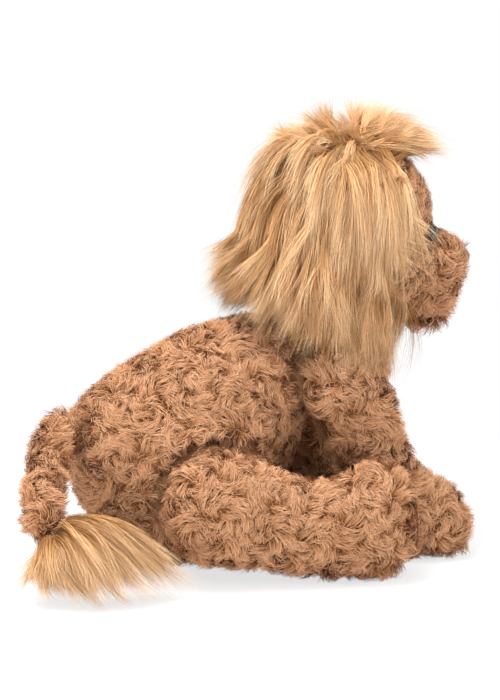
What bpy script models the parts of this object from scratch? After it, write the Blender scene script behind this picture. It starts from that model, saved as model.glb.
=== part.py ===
"""Plush lion, sitting with its legs stretched forward, in metres.

+Z is up and the lion faces -Y, so its right side is at -X. The origin is on the
floor, in the symmetry plane, in the middle of the flat patch that the rump rests on.
Every cover is a sewn shell, open at its seam, with its stuffing as a piece inside it.
"""
import math

import bmesh
import bpy
import numpy as np
from mathutils import Matrix, Vector

for thing in list(bpy.data.objects):
    bpy.data.objects.remove(thing)

# Gaps, cuts and walls
GAP = 0.0003
SOCKET_GAP = 0.0009
CUT_TOLERANCE = 1e-7
COVER_WALL = 0.0030
OVERRUN = 0.0020
POLE_INSET_SHARE = 0.8
SHARP_ANGLE = 50
MIRROR_SIDES = {"right": -1, "left": 1}

# Torso
TORSO_LENGTH = 0.100
TORSO_HEIGHT = 0.180
TORSO_WIDTH = 0.136
TORSO_SIDES, TORSO_RINGS = 24, 15
TORSO_INNER_SIDES = 14
SOCKET_MOUTH_SHARE = 0.45

# Neck and head
NECK_RADIUS = 0.036
NECK_Y_SHARE = -0.98
NECK_Y = TORSO_LENGTH * NECK_Y_SHARE
NECK_RISE = 0.008
NECK_HEIGHT = TORSO_HEIGHT + NECK_RISE
NECK_SEAM_DROP = 0.014
HEAD_AHEAD = 0.032
HEAD_RISE = 0.025
HEAD_CENTRE_Y = NECK_Y - HEAD_AHEAD
HEAD_CENTRE_Z = NECK_HEIGHT + HEAD_RISE
HEAD_RADIUS = 0.064
HEAD_SIDES, HEAD_RINGS = 24, 16
MANE_RADIUS = 0.080
MANE_SIDE_STEP = 9
MANE_RING_STEP = 8
MANE_ROOT_DEPTH = 0.0035
MANE_EDGE_ANGLE = 24
MANE_EDGE_SHARE = 0.30

# Legs: side seams, joint places and sizes
HIP_SEAM_X = 0.048
HIP_Y = 0.008
HIP_Z = 0.052
HIP_RELIEF_RADIUS = 0.047
HIND_LEG_LENGTH = 0.125
HIND_LEG_HEIGHT = 0.080
HIND_LEG_WIDTH = 0.070
SHOULDER_SEAM_X = 0.026
SHOULDER_Y_SHARE = -0.90
SHOULDER_Y = TORSO_LENGTH * SHOULDER_Y_SHARE
SHOULDER_DROP = 0.046
SHOULDER_Z = TORSO_HEIGHT - SHOULDER_DROP
SHOULDER_RELIEF_RADIUS = 0.037
FORELEG_LENGTH = 0.100
FORELEG_DROP = 0.017
FORELEG_HEIGHT = TORSO_HEIGHT - FORELEG_DROP
FORELEG_WIDTH = 0.052
LEG_SIDES, LEG_RINGS = 14, 12
LEG_INNER_SIDES = 10

# Tail
TAIL_ROOT_LENGTH_SHARE = 0.97
TAIL_ROOT_HEIGHT_SHARE = 0.5556
TAIL_ROOT_Y = TORSO_LENGTH * TAIL_ROOT_LENGTH_SHARE
TAIL_ROOT_Z = TORSO_HEIGHT * TAIL_ROOT_HEIGHT_SHARE
TAIL_RADIUS = 0.0165
TAIL_REACH = 0.080
TUFT_RADIUS = 0.026
TUFT_LENGTH = 0.100
TAIL_OPENING_SHARE = 0.80
TAIL_SIDES = 12
TAIL_RINGS = 12

# Face and small pieces
EYE_RADIUS = 0.0055
EYE_DOME = 0.0035
EYE_POST_RADIUS = 0.0020
EYE_POST_LENGTH = 0.0110
EYE_SEAT = 0.0015
WASHER_RADIUS = 0.0060
WASHER_THICKNESS = 0.0015
WASHER_SETBACK = 0.0045
TURNED_SIDES = 16
NOSE_WIDTH = 0.022
NOSE_HEIGHT = 0.014
NOSE_THICKNESS = 0.005
MOUTH_THREAD_RADIUS = 0.0009
MOUTH_LIFT = 0.0007
THREAD_SIDES = 6
EAR_WIDTH = 0.030
EAR_HEIGHT = 0.026
EAR_THICKNESS = 0.007
SOLE_HALF_WIDTH = 0.020
SOLE_HALF_HEIGHT = 0.027
SOLE_THICKNESS = 0.0022
POUCH_RADIUS = 0.024
POUCH_HEIGHT = 0.026
POUCH_FLOOR = 0.0085
POUCH_Y = 0.022


def material(name, colour, roughness):
    """A Principled material with one colour."""
    made = bpy.data.materials.new(name)
    made.use_nodes = True
    shader = made.node_tree.nodes["Principled BSDF"]
    shader.inputs["Base Color"].default_value = (*colour, 1.0)
    shader.inputs["Roughness"].default_value = roughness
    return made


CURLY_PLUSH = material("curly_plush", (0.40, 0.20, 0.10), 0.95)
LONG_PILE = material("long_pile", (0.54, 0.29, 0.14), 0.90)
SOLE_PLUSH = material("sole_plush", (0.50, 0.28, 0.16), 0.95)
STUFFING = material("stuffing", (0.85, 0.85, 0.82), 1.0)
BEAD_POUCH = material("bead_pouch", (0.70, 0.68, 0.62), 0.9)
EYE_PLASTIC = material("eye_plastic", (0.02, 0.03, 0.03), 0.08)
WASHER_PLASTIC = material("washer_plastic", (0.80, 0.80, 0.78), 0.5)
NOSE_THREAD = material("nose_thread", (0.30, 0.12, 0.09), 0.7)


def publish(name, mesh, finish):
    """Put a mesh into the scene as the named piece."""
    mesh.name = name
    mesh.materials.clear()
    mesh.materials.append(finish)
    mesh.shade_smooth()
    mesh.set_sharp_from_angle(angle=math.radians(SHARP_ANGLE))
    piece = bpy.data.objects.new(name, mesh)
    bpy.context.scene.collection.objects.link(piece)
    return piece


def to_mesh(builder):
    """Turn a bmesh into a mesh with its faces pointing out."""
    bmesh.ops.recalc_face_normals(builder, faces=builder.faces)
    mesh = bpy.data.meshes.new("shape")
    builder.to_mesh(mesh)
    builder.free()
    return mesh


def skin_rings(first_pole, rings, last_pole):
    """A closed triangle mesh over rings of points, with a pole at each end."""
    builder = bmesh.new()
    start = builder.verts.new(first_pole)
    loops = [[builder.verts.new(point) for point in ring] for ring in rings]
    finish = builder.verts.new(last_pole)
    sides = len(rings[0])
    for index in range(sides):
        after = (index + 1) % sides
        builder.faces.new((start, loops[0][after], loops[0][index]))
        builder.faces.new((finish, loops[-1][index], loops[-1][after]))
        for near, far in zip(loops, loops[1:]):
            builder.faces.new((near[index], near[after], far[after]))
            builder.faces.new((near[index], far[after], far[index]))
    return to_mesh(builder)


def smooth_rows(rows, count):
    """Read a table at even places along a Catmull-Rom curve through its rows."""
    table = np.array(rows, dtype=float)
    padded = np.vstack([2 * table[0] - table[1], table, 2 * table[-1] - table[-2]])
    read = []
    for place in np.linspace(0, len(table) - 1, count):
        index = min(int(place), len(table) - 2)
        share = place - index
        before, near, far, after = padded[index:index + 4]
        read.append(0.5 * (2 * near + (far - before) * share
                           + (2 * before - 5 * near + 4 * far - after) * share ** 2
                           + (3 * near - before - 3 * far + after) * share ** 3))
    return np.array(read)


def loft(rows, ring_count, sides, inset=0.0):
    """A form that swells and tapers along its rows.

    A row holds the upper point, the lower point and the half width of one section.
    The first and last rows are poles, where both points meet. An inset draws the
    form in all round, for a cavity or for the stuffing.
    """
    table = smooth_rows(rows, ring_count + 2)
    upper, lower, widths = table[:, 0:3], table[:, 3:6], table[:, 6]
    centres = (upper + lower) / 2
    first_pole, last_pole = centres[0], centres[-1]
    rings = []
    places = []
    for index in range(1, ring_count + 1):
        along = centres[index + 1] - centres[index - 1]
        deep = (upper[index] - lower[index]) / 2
        depth = np.linalg.norm(deep)
        deep = deep / depth
        across = np.cross(along, deep)
        across = across / np.linalg.norm(across)
        half_depth, half_width = depth - inset, widths[index] - inset
        if min(half_depth, half_width) < inset:
            continue
        ring = []
        for side in range(sides):
            angle = math.tau * side / sides
            ring.append(centres[index] + deep * half_depth * math.cos(angle)
                        + across * half_width * math.sin(angle))
        rings.append(ring)
        places.append(centres[index])
    if inset:
        first_pole = drawn_in(first_pole, places[0], inset)
        last_pole = drawn_in(last_pole, places[-1], inset)
    return skin_rings(first_pole, rings, last_pole)


def drawn_in(pole, centre, inset):
    """A pole moved in by the inset, but no further than to the first section left."""
    inward = centre - pole
    reach = np.linalg.norm(inward)
    return pole + inward * min(inset / reach, POLE_INSET_SHARE)


def cut_flat(mesh, point, normal):
    """Cut away what lies beyond a plane on its normal's side, and close the cut."""
    builder = bmesh.new()
    builder.from_mesh(mesh)
    parts = builder.verts[:] + builder.edges[:] + builder.faces[:]
    bmesh.ops.bisect_plane(builder, geom=parts, dist=CUT_TOLERANCE, plane_co=point, plane_no=normal,
                           clear_outer=True)
    rim = [edge for edge in builder.edges if edge.is_boundary]
    if rim:
        bmesh.ops.holes_fill(builder, edges=rim, sides=0)
    builder.to_mesh(mesh)
    builder.free()
    cleaned = bmesh.new()
    cleaned.from_mesh(mesh)
    bpy.data.meshes.remove(mesh)
    return to_mesh(cleaned)


def take_away(mesh, *cutters):
    """The mesh less each cutter, by exact Booleans."""
    work = bpy.data.objects.new("work", mesh)
    bpy.context.scene.collection.objects.link(work)
    helpers = []
    for cutter in cutters:
        helper = bpy.data.objects.new("cutter", cutter)
        helper.hide_render = True
        helper.display_type = "WIRE"
        bpy.context.scene.collection.objects.link(helper)
        helpers.append(helper)
        step = work.modifiers.new("cut", "BOOLEAN")
        step.operation = "DIFFERENCE"
        step.solver = "EXACT"
        step.object = helper
    graph = bpy.context.evaluated_depsgraph_get()
    result = bpy.data.meshes.new_from_object(work.evaluated_get(graph))
    for helper in helpers + [work]:
        bpy.data.objects.remove(helper)
    return result


def ball(centre, radius, sides=20, rings=10):
    """A round ball, with its poles up and down."""
    centre = Vector(centre)
    loops = []
    for ring in range(1, rings):
        polar = math.pi * ring / rings
        loops.append([centre + radius * Vector((math.sin(polar) * math.sin(math.tau * side / sides),
                                                math.sin(polar) * math.cos(math.tau * side / sides),
                                                math.cos(polar)))
                      for side in range(sides)])
    up = Vector((0, 0, radius))
    return skin_rings(centre + up, loops, centre - up)


def rod(centre, axis, radius, length, sides=24):
    """A round rod that starts at the centre and runs along the axis."""
    builder = bmesh.new()
    turn = Vector((0, 0, 1)).rotation_difference(Vector(axis).normalized()).to_matrix().to_4x4()
    place = Matrix.Translation(Vector(centre)) @ turn @ Matrix.Translation((0, 0, length / 2))
    bmesh.ops.create_cone(builder, cap_ends=True, segments=sides, radius1=radius,
                          radius2=radius, depth=length, matrix=place)
    return to_mesh(builder)


# Torso. Each row: upper point's Y and Z, lower point's Y and Z, half width,
# as shares of the torso's length, height and width.
TORSO_ROW_SHARES = [
    (0.925, 0.430, 0.925, 0.430, 0.00),
    (0.915, 0.590, 0.880, 0.270, 0.21),
    (0.820, 0.675, 0.700, 0.120, 0.36),
    (0.560, 0.780, 0.370, 0.010, 0.455),
    (0.280, 0.865, 0.000, -0.022, 0.49),
    (0.000, 0.930, -0.340, 0.100, 0.45),
    (-0.240, 0.955, -0.590, 0.340, 0.36),
    (-0.430, 0.962, -0.800, 0.570, 0.29),
    (-0.560, 0.963, -1.080, 0.770, 0.265),
    (-0.640, 0.964, -1.290, 0.950, 0.25),
    (-0.960, 1.080, -0.960, 1.080, 0.00),
]


def torso_rows():
    rows = []
    for upper_y, upper_z, lower_y, lower_z, half in TORSO_ROW_SHARES:
        rows.append((0, upper_y * TORSO_LENGTH, upper_z * TORSO_HEIGHT,
                     0, lower_y * TORSO_LENGTH, lower_z * TORSO_HEIGHT, half * TORSO_WIDTH))
    return rows


def neck_seam_height():
    return NECK_HEIGHT - NECK_SEAM_DROP


def torso_form(inset):
    """The torso's form, cut flat where it sits and at the legs' and neck's seams."""
    sides = TORSO_INNER_SIDES if inset > 0 else TORSO_SIDES
    mesh = loft(torso_rows(), TORSO_RINGS, sides, inset)
    mesh = cut_flat(mesh, (0, 0, inset), (0, 0, -1))
    for side in MIRROR_SIDES.values():
        reach = TORSO_WIDTH
        outward = (side, 0, 0)
        hip = (side * (HIP_SEAM_X - inset), HIP_Y, HIP_Z)
        shoulder = (side * (SHOULDER_SEAM_X - inset), SHOULDER_Y, SHOULDER_Z)
        mesh = take_away(mesh, rod(hip, outward, HIP_RELIEF_RADIUS + inset, reach),
                         rod(shoulder, outward, SHOULDER_RELIEF_RADIUS + inset, reach))
    radius = TAIL_RADIUS + SOCKET_GAP + inset
    root, start = tail_root()
    mesh = take_away(mesh, ball(root, radius))
    return take_away(mesh, ball(root + start * TAIL_RADIUS * SOCKET_MOUTH_SHARE, radius))


# Bead pouch: radius and height of each ring, as shares of the pouch's own.
POUCH_PROFILE_SHARES = [(0.45, 0.0), (0.80, 0.15), (1.0, 0.45), (0.95, 0.80), (0.60, 1.0)]


def pouch_form(radius, height, floor, sides=20):
    """The pouch's turned solid, with flat ends."""
    rings = []
    for radius_share, height_share in POUCH_PROFILE_SHARES:
        rings.append([(radius * radius_share * math.cos(math.tau * side / sides),
                       POUCH_Y + radius * radius_share * math.sin(math.tau * side / sides),
                       floor + height * height_share) for side in range(sides)])
    return skin_rings((0, POUCH_Y, floor), rings, (0, POUCH_Y, floor + height))


def build_torso():
    seam = (0, 0, neck_seam_height())
    cover = cut_flat(torso_form(0.0), seam, (0, 0, 1))
    cavity = torso_form(COVER_WALL)
    publish("torso_cover", take_away(cover, cavity), CURLY_PLUSH)
    stuffing = cut_flat(torso_form(COVER_WALL + GAP), seam, (0, 0, 1))
    pouch = pouch_form(POUCH_RADIUS, POUCH_HEIGHT, POUCH_FLOOR)
    hollow = pouch_form(POUCH_RADIUS + GAP, POUCH_HEIGHT + GAP, POUCH_FLOOR)
    way_in = rod((0, POUCH_Y, 0), (0, 0, 1), POUCH_RADIUS * POUCH_PROFILE_SHARES[0][0],
                 POUCH_FLOOR + POUCH_HEIGHT / 2)
    publish("torso_stuffing", take_away(stuffing, hollow, way_in), STUFFING)
    publish("bead_pouch", pouch, BEAD_POUCH)


# Head: centre's X, Y, Z and half sizes of each swelling, as shares of the head's
# radius from the cranium's centre, which lies behind and above the head's centre.
HEAD_SWELLING_SHARES = [
    ((0.00, 0.40, 0.37), (0.97, 1.00, 0.98)),
    ((0.00, -0.20, 0.42), (0.70, 0.36, 0.50)),
    ((0.19, -0.55, -0.15), (0.37, 0.46, 0.38)),
    ((-0.19, -0.55, -0.15), (0.37, 0.46, 0.38)),
    ((0.00, -0.56, -0.08), (0.33, 0.45, 0.32)),
    ((0.00, -0.49, -0.53), (0.40, 0.44, 0.42)),
    ((0.40, 0.00, -0.20), (0.42, 0.50, 0.40)),
    ((-0.40, 0.00, -0.20), (0.42, 0.50, 0.40)),
]
MANE_SWELLING_SHARES = [
    ((0.00, 0.43, 0.30), (0.98, 0.75, 0.95)),
    ((0.00, 0.88, -0.04), (0.75, 0.60, 0.27)),
    ((0.66, 0.42, -0.06), (0.44, 0.66, 0.44)),
    ((-0.66, 0.42, -0.06), (0.44, 0.66, 0.44)),
    ((0.00, -0.12, 0.98), (0.50, 0.53, 0.28)),
]
SWELLING_SHARPNESS = 16


def reach_along(direction, swellings, radius):
    """How far a form of several swellings reaches from the head's centre."""
    total = 0.0
    for centre, half_sizes in swellings:
        scaled = [part / half for part, half in zip(direction, half_sizes)]
        offset = [part / half for part, half in zip(centre, half_sizes)]
        square = sum(part * part for part in scaled)
        middle = sum(first * second for first, second in zip(scaled, offset))
        rest = middle * middle - square * (sum(part * part for part in offset) - 1)
        if rest > 0 and middle + math.sqrt(rest) > 0:
            total += ((middle + math.sqrt(rest)) / square) ** SWELLING_SHARPNESS
    return radius * total ** (1 / SWELLING_SHARPNESS)


def head_direction(ring, side):
    """Direction from the head's centre: ring 0 is the muzzle, side 0 is up."""
    polar = math.pi * ring / HEAD_RINGS
    angle = math.tau * side / HEAD_SIDES
    return Vector((math.sin(polar) * math.sin(angle), -math.cos(polar),
                   math.sin(polar) * math.cos(angle)))


def head_point(direction, swellings=HEAD_SWELLING_SHARES, radius=HEAD_RADIUS, inset=0.0):
    """The point of a form round the head's centre in one direction."""
    centre = Vector((0, HEAD_CENTRE_Y, HEAD_CENTRE_Z))
    return centre + direction * (reach_along(direction, swellings, radius) - inset)


def head_form(inset):
    rings = []
    for ring in range(1, HEAD_RINGS):
        rings.append([head_point(head_direction(ring, side), inset=inset)
                      for side in range(HEAD_SIDES)])
    return skin_rings(head_point(head_direction(0, 0), inset=inset), rings,
                      head_point(head_direction(HEAD_RINGS, 0), inset=inset))


def neck_ball(extra):
    return ball((0, NECK_Y, NECK_HEIGHT), NECK_RADIUS + extra)


def build_neck():
    """The firm filling that carries the head, with a flat foot on the torso's seam."""
    foot = (0, 0, neck_seam_height() + GAP)
    publish("neck_filling", cut_flat(neck_ball(0.0), foot, (0, 0, -1)), STUFFING)


def build_head(pockets):
    cover = take_away(head_form(0.0), head_form(COVER_WALL), neck_ball(SOCKET_GAP))
    publish("head_cover", take_away(cover, *pockets("cover")), CURLY_PLUSH)
    stuffing = take_away(head_form(COVER_WALL + GAP), neck_ball(SOCKET_GAP))
    publish("head_stuffing", take_away(stuffing, *pockets("stuffing")), STUFFING)


# Mane panels: the angles from the muzzle's direction that a panel starts and ends at,
# and the angles round it, from straight up, of its two sides.
MANE_PANEL_ANGLES = {
    "mane_crown": ((56, 124), (-46, 46)),
    "mane_right": ((64, 124), (-138, -58)),
    "mane_left": ((64, 124), (58, 138)),
    "mane_back": ((124, 180), (-138, 138)),
}


def even_places(first, last, step):
    """Places from first to last, at even steps of about the size asked for."""
    return np.linspace(first, last, max(2, round((last - first) / step) + 1))


def pile_direction(polar, angle):
    """Direction at an angle from the muzzle's, and an angle round it from straight up."""
    return head_direction(polar * HEAD_RINGS / 180, angle * HEAD_SIDES / 360)


def pile_edge_share(polar, angle, ring_span, side_span):
    """How full the pile is: it thins out at the panel's free edges."""
    depths = [polar - ring_span[0], angle - side_span[0], side_span[1] - angle]
    depth = min(1.0, max(0.0, min(depths)) / MANE_EDGE_ANGLE)
    return 1 - (1 - MANE_EDGE_SHARE) * (1 - depth) ** 2


def mane_panel(name):
    """A pile panel that follows the head, from the cover out to the pile's ends."""
    ring_span, side_span = MANE_PANEL_ANGLES[name]
    trim = math.degrees(GAP / HEAD_RADIUS)
    joined = name == "mane_back"
    polars = list(even_places(ring_span[0] + trim, ring_span[1] - trim, MANE_RING_STEP))
    angles = list(even_places(side_span[0] + trim, side_span[1] - trim, MANE_SIDE_STEP))
    outer, inner, faces = [], [], []
    if joined:
        polars = polars[:-1]
    for polar in polars:
        for angle in angles:
            direction = pile_direction(polar, angle)
            edge_polar = ring_span[1] if joined else polar
            share = pile_edge_share(edge_polar, angle, ring_span, side_span)
            base = head_point(direction, inset=-GAP)
            top = base.lerp(head_point(direction, MANE_SWELLING_SHARES, MANE_RADIUS), share)
            if (top - base).dot(direction) < COVER_WALL:
                top = base + direction * COVER_WALL
            outer.append(top)
            inner.append(base - direction * MANE_ROOT_DEPTH)
    columns = len(angles)
    for row in range(len(polars) - 1):
        for column in range(columns - 1):
            near = row * columns + column
            far = near + columns
            faces.append((near, near + 1, far + 1))
            faces.append((near, far + 1, far))
    if joined:
        direction = pile_direction(ring_span[1], 0)
        outer.append(head_point(direction, MANE_SWELLING_SHARES, MANE_RADIUS))
        inner.append(head_point(direction, inset=MANE_ROOT_DEPTH))
        last_row = (len(polars) - 1) * columns
        for column in range(columns - 1):
            faces.append((last_row + column, last_row + column + 1, len(outer) - 1))
    return slab(outer, inner, faces)


def slab(outer, inner, faces):
    """A closed solid between two surfaces that share one layout of triangles."""
    builder = bmesh.new()
    tops = [builder.verts.new(point) for point in outer]
    bases = [builder.verts.new(point) for point in inner]
    edges = {}
    for face in faces:
        builder.faces.new([tops[index] for index in face])
        builder.faces.new([bases[index] for index in reversed(face)])
        for near, far in zip(face, face[1:] + face[:1]):
            edges[(near, far)] = edges.get((near, far), 0) + 1
    for near, far in edges:
        if (far, near) not in edges:
            builder.faces.new((tops[far], tops[near], bases[near]))
            builder.faces.new((tops[far], bases[near], bases[far]))
    return to_mesh(builder)


def build_mane():
    for name in MANE_PANEL_ANGLES:
        panel = take_away(mane_panel(name), head_form(-GAP), neck_ball(SOCKET_GAP))
        publish(name, panel, LONG_PILE)


# Legs. Each row: outward place from the seam, upper point's forward place and height,
# lower point's forward place and height, and half width, as shares of the leg's width,
# length and height. Forward places count from the joint, heights from the floor.
HIND_LEG_ROW_SHARES = [
    (0.26, -0.350, 0.640, -0.350, 0.640, 0.00),
    (0.28, -0.315, 0.900, -0.310, 0.400, 0.27),
    (0.31, -0.225, 1.085, -0.215, 0.215, 0.42),
    (0.34, -0.055, 1.190, -0.050, 0.120, 0.49),
    (0.40, 0.150, 1.120, 0.155, 0.120, 0.49),
    (0.49, 0.355, 0.950, 0.372, 0.040, 0.46),
    (0.59, 0.540, 0.890, 0.560, 0.010, 0.42),
    (0.66, 0.700, 1.020, 0.713, 0.000, 0.42),
    (0.70, 0.830, 1.070, 0.837, -0.013, 0.41),
    (0.70, 0.930, 1.010, 0.922, 0.010, 0.37),
    (0.70, 0.985, 0.860, 0.977, 0.120, 0.30),
    (0.70, 1.000, 0.475, 1.000, 0.475, 0.00),
]
FORELEG_ROW_SHARES = [
    (0.385, 0.00, 1.020, 0.00, 1.020, 0.00),
    (0.385, 0.16, 0.990, -0.15, 0.985, 0.27),
    (0.385, 0.28, 0.920, -0.27, 0.900, 0.42),
    (0.385, 0.35, 0.807, -0.33, 0.771, 0.50),
    (0.385, 0.40, 0.663, -0.20, 0.590, 0.50),
    (0.385, 0.47, 0.530, -0.06, 0.446, 0.48),
    (0.385, 0.59, 0.410, 0.07, 0.271, 0.48),
    (0.385, 0.77, 0.337, 0.23, 0.084, 0.50),
    (0.385, 0.90, 0.265, 0.43, 0.002, 0.50),
    (0.385, 0.96, 0.169, 0.60, -0.008, 0.48),
    (0.385, 0.94, 0.072, 0.76, -0.008, 0.35),
    (0.385, 0.86, 0.018, 0.86, 0.018, 0.00),
]


def leg_rows(shares, side, seam_x, joint_y, width, length, height):
    rows = []
    for out, upper_y, upper_z, lower_y, lower_z, half in shares:
        place = side * (seam_x + out * width)
        rows.append((place, joint_y - upper_y * length, upper_z * height,
                     place, joint_y - lower_y * length, lower_z * height, half * width))
    return rows


def leg_loft(rows, inset):
    sides = LEG_INNER_SIDES if inset > 0 else LEG_SIDES
    return cut_flat(loft(rows, LEG_RINGS, sides, inset), (0, 0, max(inset, 0)), (0, 0, -1))


def hind_leg_form(side, inset):
    rows = leg_rows(HIND_LEG_ROW_SHARES, side, HIP_SEAM_X, HIP_Y,
                    HIND_LEG_WIDTH, HIND_LEG_LENGTH, HIND_LEG_HEIGHT)
    return leg_loft(rows, inset)


def foreleg_form(side, inset):
    rows = leg_rows(FORELEG_ROW_SHARES, side, SHOULDER_SEAM_X, SHOULDER_Y,
                    FORELEG_WIDTH, FORELEG_LENGTH, FORELEG_HEIGHT)
    return leg_loft(rows, inset)


def build_limb(name, form, side, seam_x):
    """A limb's cover, open at its flat seam, and the stuffing inside it."""
    seam = (side * (seam_x + GAP), 0, 0)
    inward = (-side, 0, 0)
    cover = cut_flat(form(side, 0.0), seam, inward)
    publish(name + "_cover", take_away(cover, form(side, COVER_WALL)), CURLY_PLUSH)
    stuffing = cut_flat(form(side, COVER_WALL + GAP), seam, inward)
    publish(name + "_stuffing", stuffing, STUFFING)


def build_legs():
    for word, side in MIRROR_SIDES.items():
        build_limb("hind_leg_" + word, hind_leg_form, side, HIP_SEAM_X)
        build_limb("foreleg_" + word, foreleg_form, side, SHOULDER_SEAM_X)
        last = HIND_LEG_ROW_SHARES[-1]
        front = (side * (HIP_SEAM_X + last[0] * HIND_LEG_WIDTH),
                 HIP_Y - last[1] * HIND_LEG_LENGTH, last[2] * HIND_LEG_HEIGHT)
        pad = egg(front, (SOLE_HALF_WIDTH, SOLE_THICKNESS, SOLE_HALF_HEIGHT))
        publish("hind_sole_" + word, take_away(pad, hind_leg_form(side, -GAP)), SOLE_PLUSH)


def egg(centre, half_sizes, sides=16, rings=8):
    """An ellipsoid with its poles up and down."""
    mesh = ball((0, 0, 0), 1.0, sides, rings)
    mesh.transform(Matrix.Translation(Vector(centre)) @ Matrix.Diagonal((*half_sizes, 1.0)))
    return mesh


# Tail: X, Y and Z from the root, as shares of the tail's reach, and the radius as a
# share of the tail's radius.
TAIL_PATH_SHARES = [
    (0.000, 0.000, 0.000, 1.00),
    (-0.200, 0.182, -0.075, 1.00),
    (-0.460, 0.300, -0.245, 1.02),
    (-0.740, 0.435, -0.430, 1.04),
    (-0.890, 0.485, -0.560, 1.00),
]
# Tuft: X, Y and height of each section's middle, as shares of the tuft's length from
# the tail's root and the floor, and its radius as a share of the tuft's radius.
TUFT_PATH_SHARES = [
    (-0.760, 0.412, 0.560, 0.00),
    (-0.780, 0.397, 0.520, 0.42),
    (-0.820, 0.345, 0.440, 0.80),
    (-0.860, 0.255, 0.345, 1.02),
    (-0.880, 0.130, 0.285, 0.96),
    (-0.870, -0.070, 0.180, 0.64),
    (-0.840, -0.250, 0.100, 0.36),
    (-0.790, -0.430, 0.030, 0.00),
]
ROOT_END_ANGLES = (20, 45, 70)


def round_rows(middles, radii):
    """Rows for a loft with round sections, square to the line of their middles."""
    rows = []
    points = [Vector(middle) for middle in middles]
    for index, middle in enumerate(points):
        before, after = points[max(index - 1, 0)], points[min(index + 1, len(points) - 1)]
        along = (after - before).normalized()
        up = Vector((0, 0, 1))
        deep = (up - along * up.dot(along)).normalized() * radii[index]
        rows.append((*(middle + deep), *(middle - deep), radii[index]))
    return rows


def tail_root():
    """The middle of the tail's root, and the way the tail leaves it."""
    root = Vector((0, TAIL_ROOT_Y, TAIL_ROOT_Z))
    path = smooth_rows(TAIL_PATH_SHARES, TAIL_RINGS)
    return root, (Vector(path[1][:3]) - Vector(path[0][:3])).normalized()


def tail_form(inset):
    root, start = tail_root()
    path = smooth_rows(TAIL_PATH_SHARES, TAIL_RINGS)
    end = (Vector(path[-1][:3]) - Vector(path[-2][:3])).normalized()
    last = root + Vector(path[-1][:3]) * TAIL_REACH
    middles = [root - start * TAIL_RADIUS]
    radii = [0.0]
    for angle in ROOT_END_ANGLES:
        middles.append(root - start * TAIL_RADIUS * math.cos(math.radians(angle)))
        radii.append(TAIL_RADIUS * math.sin(math.radians(angle)))
    for *place, radius_share in path:
        middles.append(root + Vector(place) * TAIL_REACH)
        radii.append(TAIL_RADIUS * radius_share)
    for angle in reversed(ROOT_END_ANGLES):
        middles.append(last + end * TAIL_RADIUS * math.cos(math.radians(angle)))
        radii.append(TAIL_RADIUS * math.sin(math.radians(angle)))
    middles.append(last + end * TAIL_RADIUS)
    radii.append(0.0)
    return exact_loft(round_rows(middles, radii), TAIL_SIDES, inset)


def exact_loft(rows, sides, inset=0.0):
    """A loft with one ring on each of its rows."""
    return loft(rows, len(rows) - 2, sides, inset)


def tuft_form():
    root = Vector((0, TAIL_ROOT_Y, 0))
    path = smooth_rows(TUFT_PATH_SHARES, TAIL_RINGS)
    middles = [root + Vector(place[:3]) * TUFT_LENGTH for place in path]
    radii = [max(place[3], 0) * TUFT_RADIUS for place in path]
    radii[0] = radii[-1] = 0.0
    return cut_flat(exact_loft(round_rows(middles, radii), TAIL_SIDES), (0, 0, 0), (0, 0, -1))


def build_tail():
    pieces = {}
    root, start = tail_root()
    for label, inset in (("cover", 0.0), ("cavity", COVER_WALL), ("stuffing", COVER_WALL + GAP)):
        mesh = tail_form(inset)
        back = root - start * TAIL_RADIUS * TAIL_OPENING_SHARE
        pieces[label] = mesh if label == "cavity" else cut_flat(mesh, back, -start)
    publish("tail_cover", take_away(pieces["cover"], pieces["cavity"]), CURLY_PLUSH)
    publish("tail_stuffing", pieces["stuffing"], STUFFING)
    publish("tail_tuft", take_away(tuft_form(), tail_form(-GAP)), LONG_PILE)


# Face. Directions from the head's centre.
EYE_DIRECTION_SHARE = (0.66, -0.66, 0.30)
NOSE_DIRECTION_SHARE = (0.0, -1.0, -0.13)
EAR_RING = 9.0
EAR_SIDE = 3.5
EAR_TURN_RINGS = 0.5
SLOPE_STEP_SHARE = 0.05
DOME_ANGLES = (0, 20, 40, 60, 78)
MOUTH_TURN_SHARES = [(-0.20, -0.62), (-0.10, -0.55), (0.0, -0.44), (0.10, -0.55), (0.20, -0.62)]


def face_place(direction):
    """A point of the head's cover and the way its surface faces there."""
    direction = Vector(direction).normalized()
    point = head_point(direction)
    across = direction.orthogonal().normalized()
    upward = direction.cross(across)
    first = head_point((direction + across * SLOPE_STEP_SHARE).normalized()) - point
    second = head_point((direction + upward * SLOPE_STEP_SHARE).normalized()) - point
    outward = first.cross(second).normalized()
    if outward.dot(direction) < 0:
        outward = -outward
    return point, outward


def eye_place(side):
    x, y, z = EYE_DIRECTION_SHARE
    return face_place((side * x, y, z))


def eye_pockets(piece):
    """What the eyes take out of the head's cover or stuffing."""
    cutters = []
    for side in MIRROR_SIDES.values():
        point, outward = eye_place(side)
        inward = -outward
        if piece == "cover":
            floor = point + inward * EYE_SEAT
            cutters.append(rod(floor, outward, EYE_RADIUS + GAP, EYE_DOME + EYE_SEAT))
            cutters.append(rod(point, inward, EYE_POST_RADIUS + GAP, EYE_POST_LENGTH))
        else:
            room = EYE_POST_LENGTH + 2 * GAP
            widest = max(WASHER_RADIUS, EYE_RADIUS) + GAP
            cutters.append(rod(point + outward * OVERRUN, inward, widest, room + OVERRUN))
    return cutters


def build_eyes():
    for word, side in MIRROR_SIDES.items():
        point, outward = eye_place(side)
        turn = Vector((0, 0, 1)).rotation_difference(outward).to_matrix().to_4x4()
        place = Matrix.Translation(point) @ turn
        eye = lathe(eye_profile())
        eye.transform(place)
        publish("eye_" + word, eye, EYE_PLASTIC)
        washer = ring_washer()
        washer.transform(place)
        publish("eye_washer_" + word, washer, WASHER_PLASTIC)


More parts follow.
